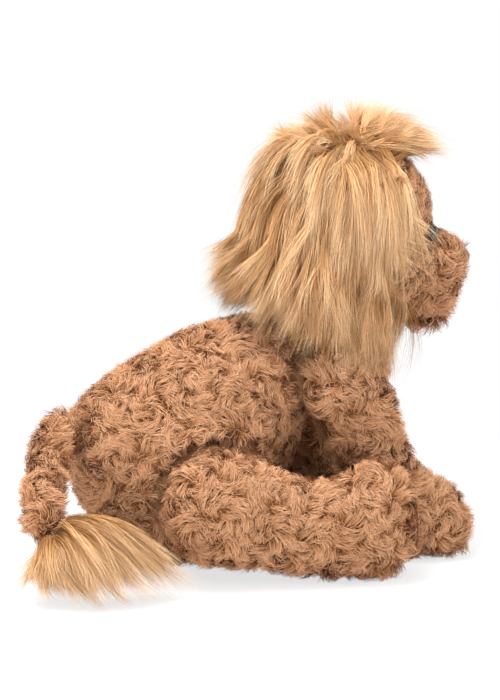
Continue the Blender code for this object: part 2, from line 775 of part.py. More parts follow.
def eye_profile():
    """Radius and height of the eye's outline, from the post's end to the dome's top."""
    back = -EYE_SEAT + GAP
    outline = [(EYE_POST_RADIUS, -EYE_POST_LENGTH), (EYE_POST_RADIUS, back), (EYE_RADIUS, back)]
    for angle in DOME_ANGLES:
        turn = math.radians(angle)
        outline.append((EYE_RADIUS * math.cos(turn), EYE_DOME * math.sin(turn)))
    return outline


def lathe(outline, sides=TURNED_SIDES):
    """A solid turned on the vertical axis from an outline of radii and heights."""
    rings = [[(radius * math.cos(math.tau * side / sides),
               radius * math.sin(math.tau * side / sides), height)
              for side in range(sides)] for radius, height in outline]
    return skin_rings((0, 0, outline[0][1]), rings, (0, 0, EYE_DOME))


def ring_washer():
    disc = rod((0, 0, -WASHER_SETBACK), (0, 0, -1), WASHER_RADIUS, WASHER_THICKNESS,
               TURNED_SIDES)
    hole = rod((0, 0, -WASHER_SETBACK + OVERRUN), (0, 0, -1), EYE_POST_RADIUS + GAP,
               WASHER_THICKNESS + 2 * OVERRUN, TURNED_SIDES)
    return take_away(disc, hole)


def build_nose_and_mouth():
    point, outward = face_place(NOSE_DIRECTION_SHARE)
    pad = egg(point, (NOSE_WIDTH / 2, NOSE_THICKNESS, NOSE_HEIGHT / 2))
    publish("nose", take_away(pad, head_form(-GAP)), NOSE_THREAD)
    line = []
    for across, down in MOUTH_TURN_SHARES:
        place, facing = face_place((across, -1.0, down))
        line.append(place + facing * (MOUTH_THREAD_RADIUS + MOUTH_LIFT))
    publish("mouth_stitch", thread(line, MOUTH_THREAD_RADIUS), NOSE_THREAD)


def thread(points, radius):
    table = smooth_rows([tuple(point) for point in points], 4 * len(points))
    middles = [table[0]] + list(table) + [table[-1]]
    end = Vector(table[-1]) - Vector(table[-2])
    start = Vector(table[0]) - Vector(table[1])
    middles[0] = Vector(table[0]) + start.normalized() * radius
    middles[-1] = Vector(table[-1]) + end.normalized() * radius
    radii = [0.0] + [radius] * len(table) + [0.0]
    return exact_loft(round_rows(middles, radii), THREAD_SIDES)


# Ear: how far along its height, and how wide and thick it is there, as shares.
EAR_ROW_SHARES = [(0.0, 0.0), (0.05, 0.72), (0.35, 0.90), (0.65, 1.00), (0.90, 0.92),
                  (1.10, 0.68), (1.20, 0.40), (1.25, 0.0)]


def build_ears():
    """A small rounded ear on each side, between the crown and the side of the mane."""
    for word, side in MIRROR_SIDES.items():
        direction = head_direction(EAR_RING, side * EAR_SIDE)
        ahead = head_direction(EAR_RING - EAR_TURN_RINGS, side * EAR_SIDE)
        forward = (ahead - direction * ahead.dot(direction)).normalized()
        root = head_point(direction, inset=EAR_HEIGHT / 4)
        rows = []
        for rise_share, half_share in EAR_ROW_SHARES:
            middle = root + direction * (rise_share * EAR_HEIGHT)
            spread = forward * (half_share * EAR_WIDTH / 2)
            rows.append((*(middle + spread), *(middle - spread), half_share * EAR_THICKNESS / 2))
        ear = exact_loft(rows, LEG_SIDES)
        publish("ear_" + word, take_away(ear, head_form(-GAP)), CURLY_PLUSH)



build_torso()
build_neck()
build_head(eye_pockets)
build_mane()
build_legs()
build_tail()
build_eyes()
build_nose_and_mouth()
build_ears()
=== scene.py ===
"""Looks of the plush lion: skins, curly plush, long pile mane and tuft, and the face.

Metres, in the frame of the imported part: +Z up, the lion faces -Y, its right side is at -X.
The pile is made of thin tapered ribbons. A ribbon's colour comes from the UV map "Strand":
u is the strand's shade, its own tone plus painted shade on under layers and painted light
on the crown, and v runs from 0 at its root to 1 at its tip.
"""

import math

import bmesh
import bpy
import numpy as np
from mathutils import Matrix, Vector
from mathutils.bvhtree import BVHTree
from mathutils.kdtree import KDTree


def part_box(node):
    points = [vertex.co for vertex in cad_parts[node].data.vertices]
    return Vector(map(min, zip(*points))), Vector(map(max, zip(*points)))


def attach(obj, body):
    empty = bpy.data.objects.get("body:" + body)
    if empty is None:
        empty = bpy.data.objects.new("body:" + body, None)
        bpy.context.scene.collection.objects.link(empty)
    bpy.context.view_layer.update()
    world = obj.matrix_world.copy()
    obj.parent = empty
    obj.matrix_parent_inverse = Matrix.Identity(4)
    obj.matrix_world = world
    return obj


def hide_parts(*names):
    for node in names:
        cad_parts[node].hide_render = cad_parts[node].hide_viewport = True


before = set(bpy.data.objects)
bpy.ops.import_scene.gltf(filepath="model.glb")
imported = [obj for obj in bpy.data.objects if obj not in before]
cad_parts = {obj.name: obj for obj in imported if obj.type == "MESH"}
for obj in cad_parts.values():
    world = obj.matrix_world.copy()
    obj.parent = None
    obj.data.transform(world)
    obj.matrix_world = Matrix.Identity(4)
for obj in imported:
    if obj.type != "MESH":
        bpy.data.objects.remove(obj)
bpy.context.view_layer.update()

# Camera: the photograph's angle, in degrees and metres
CAMERA_AZIMUTH = 250.0
CAMERA_ELEVATION = 10.5
CAMERA_DISTANCE = 2.4
CAMERA_AIM = (0.035, 0.1463)
FRAME_HEIGHT = 0.490
SENSOR = 0.036
MILLIMETRES = 1000
CLIP_RANGE = (0.05, 50)

# Skins under the pile
SKIN_VOXEL = 0.0030
THIN_VOXEL = 0.0011
SKIN_SMOOTHING = 6
SMOOTHING_STEPS = (0.5, -0.52)
FLOOR_CLEARANCE = 0.0004
THIN_DEPTH = 0.45
NOISE_CELLS = 32

# Curly pile: heights and lengths, then the spread of its locks, clumps and strands
PILE_HEIGHT = 0.0065
SHORT_PILE = 0.0030
NAP = 0.0016
LOCK_LENGTH = 0.0105
LOCK_SPACING = 0.0042
LOCK_WAVE = 0.0010
LOCK_REACHES = (0.7, 1.25)
LOCK_WAVES = (-1.3, 1.3)
LOCK_RISES = (0.80, 1.15)
WAVES_PER_STRAND = 4.2
WHORL_SPACING = 0.021
WHORL_SPINS = (55, 105)
WHORL_STRAY = 0.7
FLOW_PATCH = 0.015
SHADE_PATCH = 0.030
HEIGHT_PATCH = 0.016
STRAND_SPACING = 0.00088
STRAND_WIDTH = 0.00038
STRAND_WIDTHS = (0.7, 1.3)
STRAND_TAPER = np.array([1.0, 1.0, 0.75, 0.0])
STRAND_RISES = (0.66, 1.12)
STRAND_REACHES = (0.70, 1.1)
STRAND_TWIST = 0.8
STRAND_SINK = 0.16
CURLY_LEVELS = np.array([0.0, 0.38, 0.72, 1.0])
CLUMP_SPACING = 0.011
CLUMP_EDGE = 0.0035
CLUMP_LOW = 0.66
CLUMP_SWELL = 0.40
CREASE_REACH = 0.009
CREASE_DEEP = 1.5
CREASE_FILL = 0.45
PULL_ALONG = 0.35
PULL_SIDEWAYS = 0.46
UNDERCOAT_SHARE = 0.34
UNDERCOAT_STRAY = 1.4
UNDERCOAT_RISE = 0.62
UNDERCOAT_REACH = 0.5
# Undercoat strands are darkened by this much as painted shade under the locks
UNDERCOAT_PAINTED_SHADE = 0.12
LOCK_STRAY = 0.16
PILE_SOFTNESS = 0.72
SKIN_LIGHT = 0.55

# Long pile
LONG_LEVELS = np.linspace(0.0, 1.0, 8)
LONG_WIDTH = 0.00036
LONG_WIDTHS = (0.7, 1.35)
LONG_TAPER = np.interp(LONG_LEVELS, [0, 0.15, 0.6, 1], [0.8, 1.0, 0.85, 0.0])
LONG_STRANDS = 32
LONG_TWIST = 0.9
LONG_SOFTNESS = 0.45
LONG_GATHER = 0.72
LONG_BEND = 0.0012
LONG_BENDS = (2, 6)
LONG_SWAY = 0.0056
LONG_SWAYS = 3.6
LOCK_CLEARANCE = 0.003
PIECE_FACES = 150000
WIDEST_X = -0.128
HIGHEST_Z = 0.318
LIMIT_GIVE = 0.65


def new_object(name, mesh, body, finish):
    """Link a mesh as a piece that rides on a body, with its material."""
    mesh.name = name
    mesh.materials.clear()
    mesh.materials.append(finish)
    piece = bpy.data.objects.new(name, mesh)
    bpy.context.scene.collection.objects.link(piece)
    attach(piece, body)
    return piece


def unit(vectors):
    """Vectors scaled to length 1, row by row."""
    lengths = np.linalg.norm(vectors, axis=-1, keepdims=True)
    return vectors / np.maximum(lengths, 1e-12)


def tangent(vectors, normals):
    """Vectors laid into the surface that has these normals, at length 1."""
    along = vectors - normals * np.sum(vectors * normals, axis=-1, keepdims=True)
    return unit(along)


def lattice_noise(points, size, seed, channels=1):
    """Smooth noise from -1 to 1 at points, with features of about this size."""
    table = np.random.default_rng(seed).uniform(-1, 1, (NOISE_CELLS,) * 3 + (channels,))
    places = points / size
    cell = np.floor(places).astype(int)
    share = places - cell
    share = share * share * (3 - 2 * share)
    total = np.zeros((len(points), channels))
    for corner in range(8):
        offset = np.array([corner & 1, corner >> 1 & 1, corner >> 2 & 1])
        weight = np.prod(np.where(offset, share, 1 - share), axis=1, keepdims=True)
        x, y, z = ((cell + offset) % NOISE_CELLS).T
        total += weight * table[x, y, z]
    return total


# Forms

def mesh_from(builder, name):
    """The mesh that a builder holds. The builder is freed."""
    mesh = bpy.data.meshes.new(name)
    builder.to_mesh(mesh)
    builder.free()
    return mesh


def placed(name, data):
    """A new object in the scene."""
    made = bpy.data.objects.new(name, data)
    bpy.context.scene.collection.objects.link(made)
    return made


def joined_mesh(names):
    """The CAD nodes' meshes, in one mesh."""
    builder = bmesh.new()
    for name in names:
        builder.from_mesh(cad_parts[name].data)
    return mesh_from(builder, "joined")


def largest_shell(mesh):
    """Only the mesh's outermost closed surface is kept."""
    builder = bmesh.new()
    builder.from_mesh(mesh)
    builder.verts.ensure_lookup_table()
    seen = np.zeros(len(builder.verts), bool)
    best, best_size = [], -1.0
    for start in builder.verts:
        if seen[start.index]:
            continue
        seen[start.index] = True
        found, heap = [start], [start]
        while heap:
            for edge in heap.pop().link_edges:
                for vert in edge.verts:
                    if not seen[vert.index]:
                        seen[vert.index] = True
                        found.append(vert)
                        heap.append(vert)
        places = np.array([vert.co for vert in found])
        size = float(np.prod(np.ptp(places, axis=0) + 1e-6))
        if size > best_size:
            best, best_size = found, size
    keep = set(best)
    bmesh.ops.delete(builder, geom=[v for v in builder.verts if v not in keep], context="VERTS")
    builder.to_mesh(mesh)
    builder.free()
    return mesh


def mesh_arrays(mesh):
    """A mesh's points, its triangles and its points' normals."""
    mesh.calc_loop_triangles()
    points = np.empty(len(mesh.vertices) * 3)
    mesh.vertices.foreach_get("co", points)
    triangles = np.empty(len(mesh.loop_triangles) * 3, dtype=np.int32)
    mesh.loop_triangles.foreach_get("vertices", triangles)
    normals = np.empty(len(mesh.vertices) * 3)
    mesh.vertex_normals.foreach_get("vector", normals)
    return points.reshape(-1, 3), triangles.reshape(-1, 3), normals.reshape(-1, 3)


def set_points(mesh, points):
    mesh.vertices.foreach_set("co", np.asarray(points, dtype=float).ravel())
    mesh.update()


def smoothed(mesh, rounds):
    """Even a mesh out without shrinking it: each round draws it in and lets it out."""
    points, _, _ = mesh_arrays(mesh)
    edges = np.empty(len(mesh.edges) * 2, dtype=np.int32)
    mesh.edges.foreach_get("vertices", edges)
    edges = edges.reshape(-1, 2)
    counts = np.bincount(edges.ravel(), minlength=len(points))[:, None]
    for turn in range(rounds * 2):
        total = np.zeros_like(points)
        np.add.at(total, edges[:, 0], points[edges[:, 1]])
        np.add.at(total, edges[:, 1], points[edges[:, 0]])
        points = points + SMOOTHING_STEPS[turn % 2] * (total / counts - points)
    set_points(mesh, points)
    return mesh


def envelope(names, voxel):
    """The closed smooth surface round some CAD nodes."""
    work = placed("work", joined_mesh(names))
    remesh = work.modifiers.new("remesh", "REMESH")
    remesh.mode = "VOXEL"
    remesh.voxel_size = voxel
    graph = bpy.context.evaluated_depsgraph_get()
    result = bpy.data.meshes.new_from_object(work.evaluated_get(graph))
    bpy.data.objects.remove(work)
    return smoothed(largest_shell(result), SKIN_SMOOTHING)


def drawn_in(mesh, depth):
    """A copy of a form, moved in by a depth that may differ from point to point."""
    copy = mesh.copy()
    points, _, normals = mesh_arrays(copy)
    depths = np.broadcast_to(depth, len(points))[:, None]
    set_points(copy, off_the_floor(points - normals * depths))
    smoothed(copy, 2)
    set_points(copy, off_the_floor(mesh_arrays(copy)[0]))
    copy.shade_smooth()
    return copy


def tree_of(mesh):
    points, triangles, _ = mesh_arrays(mesh)
    return BVHTree.FromPolygons([Vector(p) for p in points], triangles.tolist())


def scatter(mesh, spacing, random):
    """Points spread over a mesh about this far apart, and the surface's normals there."""
    points, triangles, normals = mesh_arrays(mesh)
    corners = points[triangles]
    areas = np.linalg.norm(np.cross(corners[:, 1] - corners[:, 0],
                                    corners[:, 2] - corners[:, 0]), axis=1) / 2
    count = max(8, int(areas.sum() / spacing ** 2))
    edges = np.cumsum(areas)
    picks = (np.arange(count) + random.uniform(0, 1, count)) / count * edges[-1]
    chosen = np.minimum(np.searchsorted(edges, picks), len(triangles) - 1)
    first, second = np.sqrt(random.uniform(0, 1, count)), random.uniform(0, 1, count)
    shares = np.stack([1 - first, first * (1 - second), first * second], axis=1)[:, :, None]
    places = np.sum(corners[chosen] * shares, axis=1)
    facing = unit(np.sum(normals[triangles[chosen]] * shares, axis=1))
    return places, facing


# Ribbons

def ribbon_mesh(paths, sides, widths, shades, facings):
    """A mesh of tapered ribbons.

    paths is strands x levels x 3, sides the way that each ribbon is wide, widths the
    full width at each level, and facings the way that each level catches the light.
    The last level is a single point.
    """
    strands, levels, _ = paths.shape
    half = sides * widths[..., None] / 2
    left, right = (paths - half)[:, :-1], (paths + half)[:, :-1]
    points = np.concatenate([left, right, paths[:, -1:]], axis=1)
    body = levels - 1
    quads = np.array([[k, body + k, body + k + 1, k + 1] for k in range(body - 1)])
    tip = np.array([body - 1, 2 * body - 1, 2 * body])
    per_strand = 2 * body + 1
    starts = (np.arange(strands) * per_strand)[:, None]
    loops = np.concatenate([quads.ravel()[None] + starts, tip[None] + starts], axis=1)
    sizes = np.tile([4] * (body - 1) + [3], strands)
    mesh = bpy.data.meshes.new("pile")
    mesh.vertices.add(strands * per_strand)
    mesh.vertices.foreach_set("co", points.ravel())
    mesh.loops.add(loops.size)
    mesh.loops.foreach_set("vertex_index", loops.ravel().astype(np.int32))
    mesh.polygons.add(len(sizes))
    mesh.polygons.foreach_set("loop_start", np.concatenate([[0], np.cumsum(sizes)[:-1]]))
    mesh.polygons.foreach_set("use_smooth", np.ones(len(sizes), bool))
    mesh.update(calc_edges=True)
    level_v = np.linspace(0, 1, levels)
    loop_v = np.concatenate([level_v[quads.ravel() % body], level_v[[body - 1, body - 1, body]]])
    uv = np.empty((strands, loops.shape[1], 2))
    uv[..., 0] = shades[:, None]
    uv[..., 1] = loop_v[None]
    for name in ("Strand", "OFBake"):
        layer = mesh.uv_layers.new(name=name)
        layer.data.foreach_set("uv", (uv * 0.98 + 0.01).ravel())
    body_facings = facings[:, :-1]
    normals = np.concatenate([body_facings, body_facings, facings[:, -1:]], axis=1)
    mesh.normals_split_custom_set_from_vertices(normals.reshape(-1, 3))
    return mesh


def ribbon_frame(paths, normals, twist, softness):
    """The way that each ribbon is wide, and the way that it catches the light.

    The ribbon is wide across its run, turned by a twist about it. Its light direction is
    its own normal, drawn towards the surface's normal by a softness from 0 to 1.
    """
    run = np.empty_like(paths)
    run[:, 1:-1] = paths[:, 2:] - paths[:, :-2]
    run[:, 0] = paths[:, 1] - paths[:, 0]
    run[:, -1] = paths[:, -1] - paths[:, -2]
    run = unit(run)
    across = unit(np.cross(run, normals[:, None]))
    upward = np.cross(across, run)
    angle = twist[:, None, None]
    sides = across * np.cos(angle) + upward * np.sin(angle)
    own = upward * np.cos(angle) - across * np.sin(angle)
    soft = SKIN_LIGHT * normals[:, None] + (1 - SKIN_LIGHT) * upward
    return sides, unit(own * (1 - softness) + soft * softness)


def publish_pile(name, body, paths, frames, widths, shades, finish):
    """Put ribbons into the scene in pieces of a size that the export keeps whole."""
    sides, facings = frames
    faces = 2 * paths.shape[1] - 3
    count = max(1, math.ceil(len(paths) * faces / PIECE_FACES))
    pieces = []
    for index, chunk in enumerate(np.array_split(np.arange(len(paths)), count)):
        mesh = ribbon_mesh(paths[chunk], sides[chunk], widths[chunk], shades[chunk],
                           facings[chunk])
        label = name if count == 1 else "%s_%d" % (name, index + 1)
        pieces.append(new_object(label, mesh, body, finish))
    return pieces


def off_the_floor(paths):
    paths[..., 2] = np.maximum(paths[..., 2], FLOOR_CLEARANCE)
    return paths


# Curly pile

def nearest_places(places, points, count=1):
    """For every point, the indices of its nearest places and the distances to them."""
    tree = KDTree(len(places))
    for index, place in enumerate(places):
        tree.insert(Vector(place), index)
    tree.balance()
    found = [tree.find_n(Vector(point), count) for point in points]
    return np.array([[hit[1] for hit in hits] for hits in found]), \
        np.array([[hit[2] for hit in hits] for hits in found])


def whorl_flow(centres, normals, mesh, random, seed):
    """The way each lock lies: round the nearest whorl, a little disturbed."""
    whorls, _ = scatter(mesh, WHORL_SPACING, random)
    spins = random.choice([-1, 1], len(whorls)) \
        * np.radians(random.uniform(*WHORL_SPINS, len(whorls)))
    nearest = nearest_places(whorls, centres)[0][:, 0]
    inward = tangent(whorls[nearest] - centres + 1e-9, normals)
    around = np.cross(normals, inward)
    spin = spins[nearest][:, None]
    stray = WHORL_STRAY * lattice_noise(centres, FLOW_PATCH, seed, 3)
    return tangent(inward * np.cos(spin) + around * np.sin(spin) + stray, normals)


def crease_share(roots, normals, heights, blockers):
    """How near a root's pile comes to another form: 0 is free, 1 touches, over 1 is inside."""
    share = np.zeros(len(roots))
    tops = roots + normals * heights[:, None] * 0.6
    for tree, low, high in blockers:
        near = np.all((tops > low - CREASE_REACH) & (tops < high + CREASE_REACH), axis=1)
        for index in np.flatnonzero(near):
            top = Vector(tops[index])
            place, out, _, _ = tree.find_nearest(top)
            gap = (top - place).dot(out)
            amount = 1 - gap / CREASE_REACH if gap > 0 else 2.0
            share[index] = max(share[index], amount)
    return share


def curly_pile(name, body, skin, blockers, finish, seed, height=PILE_HEIGHT,
               height_at=None, keep=None):
    """Curly pile over a skin: wavy locks that lie round whorls, over a short undercoat."""
    random = np.random.default_rng(seed)
    scale = height / PILE_HEIGHT
    locks, lock_normals = scatter(skin, LOCK_SPACING * max(scale, 0.5), random)
    flow = whorl_flow(locks, lock_normals, skin, random, seed + 2)
    count = len(locks)
    reach = LOCK_LENGTH * math.sqrt(scale) * random.uniform(*LOCK_REACHES, count)
    wave = LOCK_WAVE * scale * random.uniform(*LOCK_WAVES, count)
    phase = random.uniform(0, math.tau, count)
    lock_rise = random.uniform(*LOCK_RISES, count)
    lock_shade = 0.5 + 0.16 * lattice_noise(locks, SHADE_PATCH, seed + 3)[:, 0] \
        + random.normal(0, 0.06, count)
    clumps, _ = scatter(skin, CLUMP_SPACING, random)

    roots, normals = scatter(skin, STRAND_SPACING, random)
    if keep:
        kept = keep(roots)
        roots, normals = roots[kept], normals[kept]
    heights = height * (1 + 0.15 * lattice_noise(roots, HEIGHT_PATCH, seed + 1)[:, 0])
    if height_at:
        heights = heights * height_at(roots)
    crease = crease_share(roots, normals, heights, blockers)
    kept = crease < CREASE_DEEP
    roots, normals, heights, crease = roots[kept], normals[kept], heights[kept], crease[kept]
    heights = heights * (1 + CREASE_FILL * crease)
    gaps = nearest_places(clumps, roots, 2)[1]
    edge = np.clip((gaps[:, 1] - gaps[:, 0]) / CLUMP_EDGE, 0, 1)
    heights = heights * (CLUMP_LOW + CLUMP_SWELL * np.sin(edge * math.pi / 2))
    lock = nearest_places(locks, roots)[0][:, 0]
    total = len(roots)
    under = random.uniform(0, 1, total) < UNDERCOAT_SHARE
    stray = np.where(under, UNDERCOAT_STRAY, LOCK_STRAY)[:, None]
    along = tangent(flow[lock] + random.normal(0, 1, (total, 3)) * stray, normals)
    across = np.cross(normals, along)
    offset = locks[lock] - roots
    gather = np.where(under, 0.0, 1.0)[:, None]
    pull_side = np.sum(offset * across, axis=1)[:, None] * gather
    pull_along = np.sum(offset * along, axis=1)[:, None] * gather
    level = CURLY_LEVELS[None, :]
    rise = heights * lock_rise[lock] * np.where(under, UNDERCOAT_RISE, 1.0) \
        * random.uniform(*STRAND_RISES, total)
    arch = np.sin(np.minimum(level * 1.2, 1.0) * math.pi / 2) - STRAND_SINK * level ** 3
    up = rise[:, None] * arch
    lie = reach[lock] * np.sqrt(heights / height) * random.uniform(*STRAND_REACHES, total) \
        * np.where(under, UNDERCOAT_REACH, 1.0)
    forward = lie[:, None] * level ** 1.2 + pull_along * PULL_ALONG * level
    waves = np.sin(level * WAVES_PER_STRAND + phase[lock][:, None])
    sideways = pull_side * PULL_SIDEWAYS * level + wave[lock][:, None] * waves * level
    paths = roots[:, None] + normals[:, None] * up[..., None] \
        + along[:, None] * forward[..., None] + across[:, None] * sideways[..., None]
    paths = off_the_floor(paths)
    twist = random.uniform(-STRAND_TWIST, STRAND_TWIST, total)
    frames = ribbon_frame(paths, normals, twist, PILE_SOFTNESS)
    widths = STRAND_WIDTH * random.uniform(*STRAND_WIDTHS, total)[:, None] * STRAND_TAPER[None, :]
    # Undercoat strands get painted shade, lying under the locks
    shades = lock_shade[lock] + random.normal(0, 0.14, total) - UNDERCOAT_PAINTED_SHADE * under
    shades = np.clip(shades, 0, 1)
    return publish_pile(name, body, paths, frames, widths, shades, finish)


# Long pile

def long_pile(name, body, guides, normals, spread, shades, finish, seed,
              strands=LONG_STRANDS, loose=0.0035, shortest=0.62):
    """Long straight pile: every guide carries a lock of strands that gather at its tip."""
    random = np.random.default_rng(seed)
    lock = np.repeat(np.arange(len(guides)), strands)
    total, last = len(lock), guides.shape[1] - 1
    reach = random.uniform(shortest, 1.0, total)
    places = LONG_LEVELS[None, :] * reach[:, None] * last
    low = np.minimum(places.astype(int), last - 1)
    share = (places - low)[..., None]
    paths = guides[lock[:, None], low] * (1 - share) + guides[lock[:, None], low + 1] * share
    run = unit(guides[:, -1] - guides[:, 0])
    across = unit(np.cross(run, normals))[lock][:, None]
    over = np.cross(unit(np.cross(run, normals)), run)[lock][:, None]
    radius, turn = np.sqrt(random.uniform(0, 1, total)), random.uniform(0, math.tau, total)
    level = LONG_LEVELS[None, :]
    gather = spread[lock][:, None] * (1 - LONG_GATHER * np.sin(level * math.pi / 2))
    fly = loose * level ** 2 * random.normal(0, 1, total)[:, None]
    lift = loose * level ** 2 * random.normal(0.1, 0.8, total)[:, None]
    bend = LONG_BEND * np.sin(level * random.uniform(*LONG_BENDS, total)[:, None]
                              + random.uniform(0, math.tau, total)[:, None]) * level
    start = random.uniform(0, math.tau, len(guides))[lock][:, None]
    sway = LONG_SWAY * random.normal(0, 0.7, len(guides))[lock][:, None]
    bend = bend + sway * (np.sin(start + LONG_SWAYS * level) - np.sin(start)) * level
    paths = paths + across * ((radius * np.cos(turn))[:, None] * gather + fly + bend)[..., None] \
        + over * ((radius * np.sin(turn))[:, None] * gather + lift)[..., None]
    paths = off_the_floor(paths)
    paths[..., 0] -= LIMIT_GIVE * np.minimum(paths[..., 0] - WIDEST_X, 0)
    paths[..., 2] -= LIMIT_GIVE * np.maximum(paths[..., 2] - HIGHEST_Z, 0)
    twist = random.uniform(-LONG_TWIST, LONG_TWIST, total)
    frames = ribbon_frame(paths, normals[lock], twist, LONG_SOFTNESS)
    widths = LONG_WIDTH * random.uniform(*LONG_WIDTHS, total)[:, None] * LONG_TAPER[None, :]
    tone = np.clip(shades[lock] + random.normal(0, 0.18, total), 0, 1)
    return publish_pile(name, body, paths, frames, widths, tone, finish)


def comb(root, start, length, droop, margin, cling, trees):
    """One guide: it leaves its root, droops, and slides over the forms under it.

    trees are pairs of a closed form and the depth of pile to keep off it. The guide clings
    to the first form, where that faces up or sideways, by a share from 0 to 1.
    """
    step = length / (len(LONG_LEVELS) - 1)
    place, way = Vector(root), Vector(start).normalized()
    path = [place.copy()]
    for level in range(1, len(LONG_LEVELS)):
        share = level / (len(LONG_LEVELS) - 1)
        way = (way + Vector((0, 0, -droop * (0.4 + share)))).normalized()
        ahead = place + way * step
        ramp = min(1.0, share / 0.3)
        for tree, depth in trees:
            wanted = (margin if depth is None else depth) * ramp
            near, out, _, _ = tree.find_nearest(ahead)
            gap = (ahead - near).dot(out)
            if gap < wanted:
                if depth is not None:
                    flat = Vector((ahead.x, ahead.y + 0.155, 0)).normalized()
                    out = (out + flat * 1.2).normalized()
                ahead = ahead + out * (wanted - gap)
            elif depth is None and out.z > -0.1:
                ahead = ahead - out * (gap - wanted) * cling * (1 - share)
        ahead.z = max(ahead.z, FLOOR_CLEARANCE)
        moved = (ahead - place).normalized()
        place = place + moved * step
        way = (way * 0.4 + moved * 0.6).normalized()
        path.append(place.copy())
    return path


def kept_off(place, trees, margin):
    """A place, moved out of some closed forms to at least a margin from each."""
    for tree in trees:
        near, out, _, _ = tree.find_nearest(place)
        gap = (place - near).dot(out)
        if gap < margin:
            place = place + out * (margin - gap)
    return place


def swept(root, bend, tip, trees, margin=LOCK_CLEARANCE):
    """A guide along one curve from a root, towards a bend, to a tip, kept off some forms."""
    path = []
    for share in np.linspace(0, 1, len(LONG_LEVELS)):
        place = Vector((1 - share) ** 2 * root + 2 * share * (1 - share) * bend
                       + share ** 2 * tip)
        place = kept_off(place, trees, margin)
        place.z = max(place.z, FLOOR_CLEARANCE)
        path.append(place)
    return path


# Materials

def principled(name, roughness, sheen=0.0, specular=0.5, coat=0.0):
    """A material and its Principled shader, with constants on the shader's sockets."""
    made = bpy.data.materials.new(name)
    made.use_nodes = True
    shader = made.node_tree.nodes["Principled BSDF"]
    shader.inputs["Roughness"].default_value = roughness
    shader.inputs["Sheen Weight"].default_value = sheen
    shader.inputs["Sheen Roughness"].default_value = 0.5
    shader.inputs["Specular IOR Level"].default_value = specular
    shader.inputs["Coat Weight"].default_value = coat
    return made, shader


def new_node(tree, kind, inputs=None, **settings):
    """A shader node with these settings, and constants on some of its sockets."""
    node = tree.nodes.new("ShaderNode" + kind)
    for name, value in settings.items():
        setattr(node, name, value)
    for name, value in (inputs or {}).items():
        node.inputs[name].default_value = value
    return node


def wire(tree, source, output, target, socket):
    """A link from a node's output to another node's socket."""
    tree.links.new(source.outputs[output], target.inputs[socket])


def ramp_node(tree, stops):
    """A colour ramp with these (place, linear colour) stops."""
    node = new_node(tree, "ValToRGB")
    elements = node.color_ramp.elements
    while len(elements) < len(stops):
        elements.new(0.5)
    for element, (place, colour) in zip(elements, stops):
        element.position = place
        element.color = (*colour, 1.0)
    return node


MIX_COLOURS = (6, 7)
MIX_RESULT = 2


def strand_material(name, dark, light, roughness):
    """Pile: two root-to-tip ramps, mixed by each strand's shade, which holds painted shade and light
    as well as its tone.
    """
    made, shader = principled(name, roughness, specular=0.10)
    tree = made.node_tree
    uv = new_node(tree, "UVMap", uv_map="Strand")
    split = new_node(tree, "SeparateXYZ")
    mix = new_node(tree, "Mix", data_type="RGBA")
    wire(tree, uv, "UV", split, "Vector")
    for stops, socket in zip((dark, light), MIX_COLOURS):
        ramp = ramp_node(tree, stops)
        wire(tree, split, "Y", ramp, "Fac")
        wire(tree, ramp, "Color", mix, socket)
    wire(tree, split, "X", mix, "Factor")
    wire(tree, mix, MIX_RESULT, shader, "Base Color")
    return made


def cloth_material(name, low, high, scale, roughness=0.9):
    """Backing cloth or short nap: mottled colour and a fine bump."""
    made, shader = principled(name, roughness, 0.1, 0.2)
    tree = made.node_tree
    place = new_node(tree, "TexCoord")
    mottle = new_node(tree, "TexNoise", {"Scale": scale, "Detail": 5.0})
    fine = new_node(tree, "TexNoise", {"Scale": scale * 8})
    ramp = ramp_node(tree, [(0.35, low), (0.65, high)])
    bump = new_node(tree, "Bump", {"Strength": 0.6, "Distance": 0.0008})
    for noise in (mottle, fine):
        wire(tree, place, "Object", noise, "Vector")
    wire(tree, mottle, "Fac", ramp, "Fac")
    wire(tree, ramp, "Color", shader, "Base Color")
    wire(tree, fine, "Fac", bump, "Height")
    wire(tree, bump, "Normal", shader, "Normal")
    return made


# Each ramp runs dark at the root to light at the tip: partly the plush's own lighter tips, partly
# painted shade deep in the pile, its darks made warmer as painted light bounced between fibres.
CURLY = strand_material(
    "curly_pile",
    [(0.0, (0.160, 0.058, 0.018)), (0.45, (0.380, 0.160, 0.066)), (1.0, (0.580, 0.285, 0.140))],
    [(0.0, (0.300, 0.125, 0.048)), (0.45, (0.680, 0.350, 0.175)), (1.0, (0.960, 0.630, 0.400))],
    0.70)
SOLE = strand_material(
    "sole_nap",
    [(0.0, (0.280, 0.120, 0.055)), (0.45, (0.450, 0.215, 0.105)), (1.0, (0.580, 0.300, 0.160))],
    [(0.0, (0.400, 0.190, 0.095)), (0.45, (0.650, 0.365, 0.200)), (1.0, (0.840, 0.530, 0.320))],
    0.70)
LONG = strand_material(
    "long_pile",
    [(0.0, (0.100, 0.032, 0.007)), (0.35, (0.270, 0.105, 0.028)), (1.0, (0.440, 0.205, 0.072))],
    [(0.0, (0.450, 0.200, 0.070)), (0.35, (0.880, 0.520, 0.230)), (1.0, (1.000, 0.760, 0.480))],
    0.45)
# The skin under the pile is dark brown as painted shade at the roots, deep in the pile.
BACKING = cloth_material("pile_backing", (0.200, 0.075, 0.028), (0.290, 0.120, 0.050), 60)
THREAD = cloth_material("nose_thread", (0.200, 0.070, 0.045), (0.300, 0.115, 0.075), 400, 0.55)
WASHER = cloth_material("washer_plastic", (0.72, 0.72, 0.70), (0.80, 0.80, 0.78), 120, 0.5)
POUCH_CLOTH = cloth_material("pouch_cloth", (0.58, 0.56, 0.50), (0.74, 0.72, 0.66), 200)


# Covers

